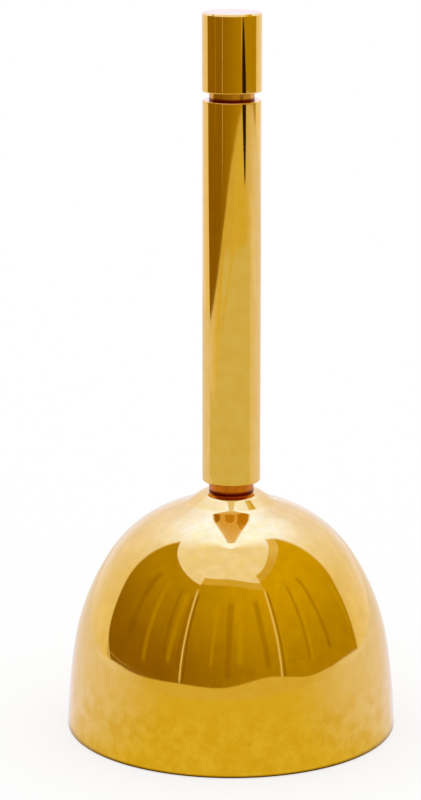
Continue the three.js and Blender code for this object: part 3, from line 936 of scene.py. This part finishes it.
# The bell mirrors a light where its surface faces halfway between that light and the camera
def mirrorSpot(light):
    camera = Vector((0, -cameraSetup["distance"], cameraSetup["height"]))
    spot = Vector((0, 0, 0.03))
    for _ in range(4):
        facing = (light.normalized() + (camera - spot).normalized()).normalized()
        tilt = max(0.02, asin(facing.z))
        for centre, radius, end in bellArcs:
            if tilt < end:
                break
        point = offset(centre, radius, tilt) * mm
        across = Vector((facing.x, facing.y)).normalized() * point.x
        spot = Vector((*across, point.y))
    return spot


# Above the walls the cloth is the flat top
def towards(azimuth, elevation, nearer=1.0):
    ahead = Vector((sin(radians(azimuth)), -cos(radians(azimuth)), tan(radians(min(elevation, 89.9)))))
    spot = mirrorSpot(ahead)
    reach = tentDistance(azimuth, elevation) - spot.xy.dot(ahead.xy)
    if elevation > 0:
        reach = min(reach, (tent["height"] - spot.z) / ahead.z)
    return spot + ahead * reach * nearer


# A smooth curve through rows of numbers
def smoothRun(rows, fine):
    made = []
    last = len(rows) - 1
    for i in range(last):
        near = [rows[min(max(i + k, 0), last)] for k in (-1, 0, 1, 2)]
        for step in range(fine + (i == last - 1)):
            t = step / fine
            made.append([0.5 * (2 * q + (r - p) * t + (2 * p - 5 * q + 4 * r - s) * t * t
                                + (3 * q - p - 3 * r + s) * t ** 3) for p, q, r, s in zip(*near)])
    return made


# A card hangs between a low and a high edge. A lean other than 1 bows its sides.
def lightCard(name, low, high, toneAt, nearer=1.0, lean=1.0, rows=12, material=clothLight):
    lowRun, highRun = smoothRun(low, tent["fine"]), smoothRun(high, tent["fine"])
    places, lights = [], []
    for i in range(rows + 1):
        share = i / rows
        for (azimuth, elevation), (headAzimuth, headElevation) in zip(lowRun, highRun):
            at = (azimuth + (headAzimuth - azimuth) * share ** lean,
                  elevation + (headElevation - elevation) * share)
            places.append(towards(*at, nearer))
            lights.append(toneAt(*at))
    wide = len(lowRun)
    faces = [(k, k + 1, k + 1 + wide, k + wide) for i in range(rows) for k in range(i * wide,
                                                                                    i * wide + wide - 1)]
    seenByPolishOnly(litMesh(name, places, faces, lights, material))


# A soft line along a path, such as a seam or a fold. Its half width is in degrees.
def lightBand(name, light, width, strength, path, nearer):
    run = smoothRun(path, tent["fine"])
    places, lights = [], []
    for i, (azimuth, elevation) in enumerate(run):
        middle = towards(azimuth, elevation, nearer)
        before, after = (towards(*run[k], nearer) for k in (max(i - 1, 0), min(i + 1, len(run) - 1)))
        across = (after - before).cross(middle).normalized() * middle.length * tan(radians(width))
        end = min(1.0, min(i, len(run) - 1 - i) / tent["fade"])
        for side, share in ((-1, 0), (-0.5, 1), (0.5, 1), (1, 0)):
            places.append(middle + across * side)
            lights.append((*glow[light], share * strength * end))
    faces = [(k, k + 1, k + 5, k + 4) for i in range(len(run) - 1) for k in range(4 * i, 4 * i + 3)]
    seenByPolishOnly(litMesh(name, places, faces, lights, plainLight))


# The opening is three cards of the room side by side, with a seam between each two and a hem above
opening = {
    "seam": 37, "footLeft": -96, "footRight": 107, "leftLean": 0.5, "rightLean": 2.0, "foot": -4,
    "left": [(-124, 57), (-80, 56), (-37, 51)], "front": [(-37, 52), (0, 54), (37, 47)],
    "right": [(37, 54), (84, 61), (130, 60)], "hem": 6, "seamHead": 48, "seamWidth": 0.8,
    "shadeAside": 2.5, "shadeShorter": 2, "shadeStrength": 0.7, "edgeWidth": 0.9, "edgeStrength": 0.8,
    "edgeSteps": 8, "foldHead": 44, "foldWaist": 26, "foldFoot": 4, "foldSpread": 8,
    "folds": 14, "foldWidth": 2.2, "foldStrength": 0.35, "foldDrift": 8, "foldSeed": 5,
}
# What is nearer to the bell than the cloth, as a share of the way to it
nearness = {"room": 0.96, "hem": 0.955, "fold": 0.95, "foldStep": 0.0005, "shade": 0.932, "seam": 0.93,
            "edge": 0.928}
# Cloth that turns up a little in front of the opening, with one swell, and lies down at the sides
lip = {
    "reach": 130, "step": 10, "least": 0.2, "height": 0.8, "swell": 4.2, "swellAt": 27, "swellWide": 36,
    "leftDrop": 2.2, "leftFrom": 30, "leftTo": 80,
    "sidesFrom": 85, "sidesDrop": 4.0, "nearer": 0.5,
}


def makeOpening(o):
    seam, foot = o["seam"], o["foot"]
    edges = {
        "left": ([(o["footLeft"], foot), ((o["footLeft"] - seam) / 2, foot), (-seam, foot)], o["leftLean"]),
        "front": ([(-seam, foot), (0, foot), (seam, foot)], 1.0),
        "right": ([(seam, foot), ((seam + o["footRight"]) / 2, foot), (o["footRight"], foot)],
                  o["rightLean"]),
    }
    for name, (low, lean) in edges.items():
        lightCard(name + "Room", low, o[name], roomTone, nearness["room"], lean, rows=24)
    for name in ("front", "right"):
        high = [(azimuth, elevation + o["hem"]) for azimuth, elevation in o[name]]
        lightCard(name + "Hem", o[name], high, hemTone, nearness["hem"], rows=3)
    for name, side in (("leftSeam", -seam), ("rightSeam", seam)):
        head, waist, short = o["seamHead"], o["seamHead"] / 2, o["shadeShorter"]
        lightBand(name, "cream", o["seamWidth"], 1.0, [(side, head), (side, waist), (side, 0)],
                  nearness["seam"])
        beside = side + o["shadeAside"]
        lightBand(name + "Shade", "dim", o["seamWidth"], o["shadeStrength"],
                  [(beside, head - short), (beside, waist), (beside, short)], nearness["shade"])
    for name in ("left", "right"):
        (low, lean), head = edges[name], o[name]
        start, end = (low[0], head[0]) if name == "left" else (low[-1], head[-1])
        shares = [i / o["edgeSteps"] for i in range(o["edgeSteps"] + 1)]
        side = [(start[0] + (end[0] - start[0]) * share ** lean, start[1] + (end[1] - start[1]) * share)
                for share in shares]
        lightBand(name + "Edge", "cream", o["edgeWidth"], o["edgeStrength"], side, nearness["edge"])


# Folds hang unevenly in the room's cloth, light and dark in turn
def makeFolds(o):
    chance = Random(o["foldSeed"])
    wide = (o["footRight"] - o["footLeft"]) / o["folds"]
    for i in range(o["folds"]):
        head = o["footLeft"] + wide * (i + chance.random())
        drift = o["foldDrift"] * (chance.random() - 0.5)
        foot = o["foldFoot"] + o["foldSpread"] * chance.random()
        path = [(head, o["foldHead"]), (head + drift / 2, o["foldWaist"]), (head + drift, foot)]
        lightBand(f"fold{i}", "warm" if i % 2 else "dim", o["foldWidth"] * (0.5 + chance.random()),
                  o["foldStrength"], path, nearness["fold"] - nearness["foldStep"] * i)


# Cloth that lies level with the bell's waist, which sees it edge on, so that only the handle shows it. The
# slit is a dark sheet of painted shade, standing for the shade seen through a slit in the tent; it slopes
# away from the bell for the same reason, and narrows to both ends.
lowCloth = {
    "near": 0.14, "farLeft": 0.24, "far": 0.5, "above": 0.0005, "light": (0.80, 0.79, 0.50), "leftEnd": -94,
    "rightEnd": 77, "step": 5, "widensFrom": -68, "widensTo": -22,
}
slit = {
    "foot": 0.02, "rise": 10.0, "near": 0.32, "far": 0.51, "nearMiddle": 52, "farMiddle": 43, "tipWide": 4,
    "wide": 16, "steps": 8,
}


def roundAbout(azimuth, distance, height):
    return (distance * sin(radians(azimuth)), -distance * cos(radians(azimuth)), height)


def levelHeight(azimuth):
    return mirrorSpot(Vector(roundAbout(azimuth, 1, 0))).z


def makeLowCloth(c):
    places = []
    for azimuth in range(c["leftEnd"], c["rightEnd"], c["step"]):
        far = c["farLeft"] + (c["far"] - c["farLeft"]) * smoothShare(azimuth, c["widensFrom"], c["widensTo"])
        places += [roundAbout(azimuth, distance,
                              levelHeight(azimuth) + c["above"]) for distance in (c["near"], far)]
    faces = [(k, k + 1, k + 3, k + 2) for k in range(0, len(places) - 2, 2)]
    seenByPolishOnly(litMesh("lowCloth", places, faces, [c["light"]] * len(places), topLight))


def makeSlit(s):
    places = []
    for i in range(s["steps"] + 1):
        share = i / s["steps"]
        distance = s["near"] + (s["far"] - s["near"]) * share
        middle = s["nearMiddle"] + (s["farMiddle"] - s["nearMiddle"]) * share
        half = (s["tipWide"] + (s["wide"] - s["tipWide"]) * sin(radians(180 * share))) / 2
        height = s["foot"] + distance * tan(radians(s["rise"]))
        places += [roundAbout(middle + side * half, distance, height) for side in (-1, 1)]
    faces = [(k, k + 2, k + 3, k + 1) for k in range(0, len(places) - 2, 2)]
    # Painted shade: the sheet shows only the dark tone
    seenByPolishOnly(litMesh("slit", places, faces, [glow["dark"]] * len(places), topLight))


def lipHeight(azimuth):
    swell = lip["swell"] * smoothShare(abs(azimuth - lip["swellAt"]), lip["swellWide"], 0)
    drop = lip["leftDrop"] * smoothShare(-azimuth, lip["leftFrom"], lip["leftTo"])
    sides = lip["sidesDrop"] * smoothShare(abs(azimuth), lip["sidesFrom"], lip["reach"])
    return max(tent["foot"] + lip["least"], lip["height"] + swell - drop - sides)


def lipTone(azimuth, elevation):
    return mixLight("wheat", "milk", shading["lipMore"] * smoothShare(abs(azimuth), *shading["lipSides"]))


def makeTent():
    rounds = range(-180, 181, tent["step"])
    lightCard("tentCloth", [(azimuth, tent["foot"]) for azimuth in rounds],
              [(azimuth, 90) for azimuth in rounds],
              clothTone, rows=tent["rows"])
    makeOpening(opening)
    makeFolds(opening)
    spots = range(-lip["reach"], lip["reach"] + 1, lip["step"])
    lightCard("frontLip", [(azimuth, tent["foot"]) for azimuth in spots],
              [(azimuth, lipHeight(azimuth)) for azimuth in spots], lipTone, lip["nearer"], rows=2,
              material=plainLight)
    makeLowCloth(lowCloth)
    makeSlit(slit)


makeTent()
print("light tent made")


# Floor: white to the camera, with the bell's soft shadow, and a golden pool of light in the polish

floorLook = {
    "white": 1.0, "glow": 0.7, "level": -0.0001, "columns": 120, "rings": 42, "growth": 1.15, "start": 0.044,
    "pool": (0.84, 0.74, 0.10), "far": (0.78, 0.68, 0.22), "farFrom": 0.45, "farTo": 0.6,
    "shade": (0.12, 0.06, 0.0), "shadeFrom": 0.036, "shadeTo": 0.0385, "shadeSoft": 0.002,
    "side": (0.95, 0.96, 1.2), "sideFrom": 35, "sideTo": 112, "back": (0.92, 0.89, 0.85), "backTo": 165,
}


def floorLight(look, azimuth, distance):
    shade, pool, far, side, back = (Vector(look[name]) for name in ("shade", "pool", "far", "side", "back"))
    soft = look["shadeSoft"]
    rim = (smoothShare(distance, look["shadeFrom"] - soft, look["shadeFrom"])
           - smoothShare(distance, look["shadeTo"], look["shadeTo"] + soft))
    front = pool.lerp(far, smoothShare(distance, look["farFrom"], look["farTo"])).lerp(shade, rim)
    beside = front.lerp(side, smoothShare(abs(azimuth), look["sideFrom"], look["sideTo"]))
    return beside.lerp(back, smoothShare(abs(azimuth), look["sideTo"], look["backTo"]))


def makeFloor(look):
    shade = [look["shadeFrom"] - look["shadeSoft"], look["shadeFrom"], look["shadeTo"],
             look["shadeTo"] + look["shadeSoft"]]
    radii = [0.03] + shade + [look["start"] * look["growth"] ** i for i in range(look["rings"])]
    columns = look["columns"]
    places = [(0, 0, look["level"])]
    lights = [floorLight(look, 0, 0)]
    for radius in radii:
        for i in range(columns):
            azimuth = i * 360 / columns - 180
            places.append(roundAbout(azimuth, radius, look["level"]))
            lights.append(floorLight(look, azimuth, radius))
    nextOf = [(i + 1) % columns for i in range(columns)]
    faces = [(0, 1 + i, 1 + nextOf[i]) for i in range(columns)]
    for k in range(len(radii) - 1):
        a, b = 1 + k * columns, 1 + (k + 1) * columns
        faces += [(a + i, b + i, b + nextOf[i], a + nextOf[i]) for i in range(columns)]

    material = bpy.data.materials.new("paleFloor")
    material.use_nodes = True
    tree = material.node_tree
    tree.nodes.clear()
    path = tree.nodes.new("ShaderNodeLightPath").outputs
    white = node(tree, "ShaderNodeBsdfDiffuse", Color=(*[look["white"]] * 3, 1)).outputs[0]
    shine = node(tree, "ShaderNodeEmission", Color=(1, 1, 1, 1), Strength=1.0).outputs[0]
    attribute = tree.nodes.new("ShaderNodeAttribute")
    attribute.attribute_name = "light"
    pool = node(tree, "ShaderNodeEmission", Color=attribute.outputs["Color"], Strength=1.0).outputs[0]
    clear = tree.nodes.new("ShaderNodeBsdfTransparent").outputs[0]

    def choose(share, first, second):
        made = tree.nodes.new("ShaderNodeMixShader")
        for value, socket in zip((share, first, second), made.inputs):
            plug(tree, value, socket)
        return made.outputs[0]

    seen = maths(tree, "MAXIMUM", path["Is Camera Ray"], path["Is Transmission Ray"])
    bright = choose(maths(tree, "MULTIPLY", seen, look["glow"]), white, shine)
    mirrored = choose(path["Is Glossy Ray"], bright, pool)
    back = tree.nodes.new("ShaderNodeNewGeometry").outputs["Backfacing"]
    out = tree.nodes.new("ShaderNodeOutputMaterial")
    tree.links.new(choose(back, mirrored, clear), out.inputs["Surface"])
    litMesh("floor", places, faces, lights, material)


def makeWorld(strength=1.0):
    world = bpy.data.worlds.new("paleStudio")
    world.use_nodes = True
    background = world.node_tree.nodes["Background"]
    background.inputs["Color"].default_value = (1, 1, 1, 1)
    background.inputs["Strength"].default_value = strength
    bpy.context.scene.world = world


makeFloor(floorLook)
makeWorld()
bpy.context.scene.view_settings.view_transform = "Standard"
print("floor and world made")
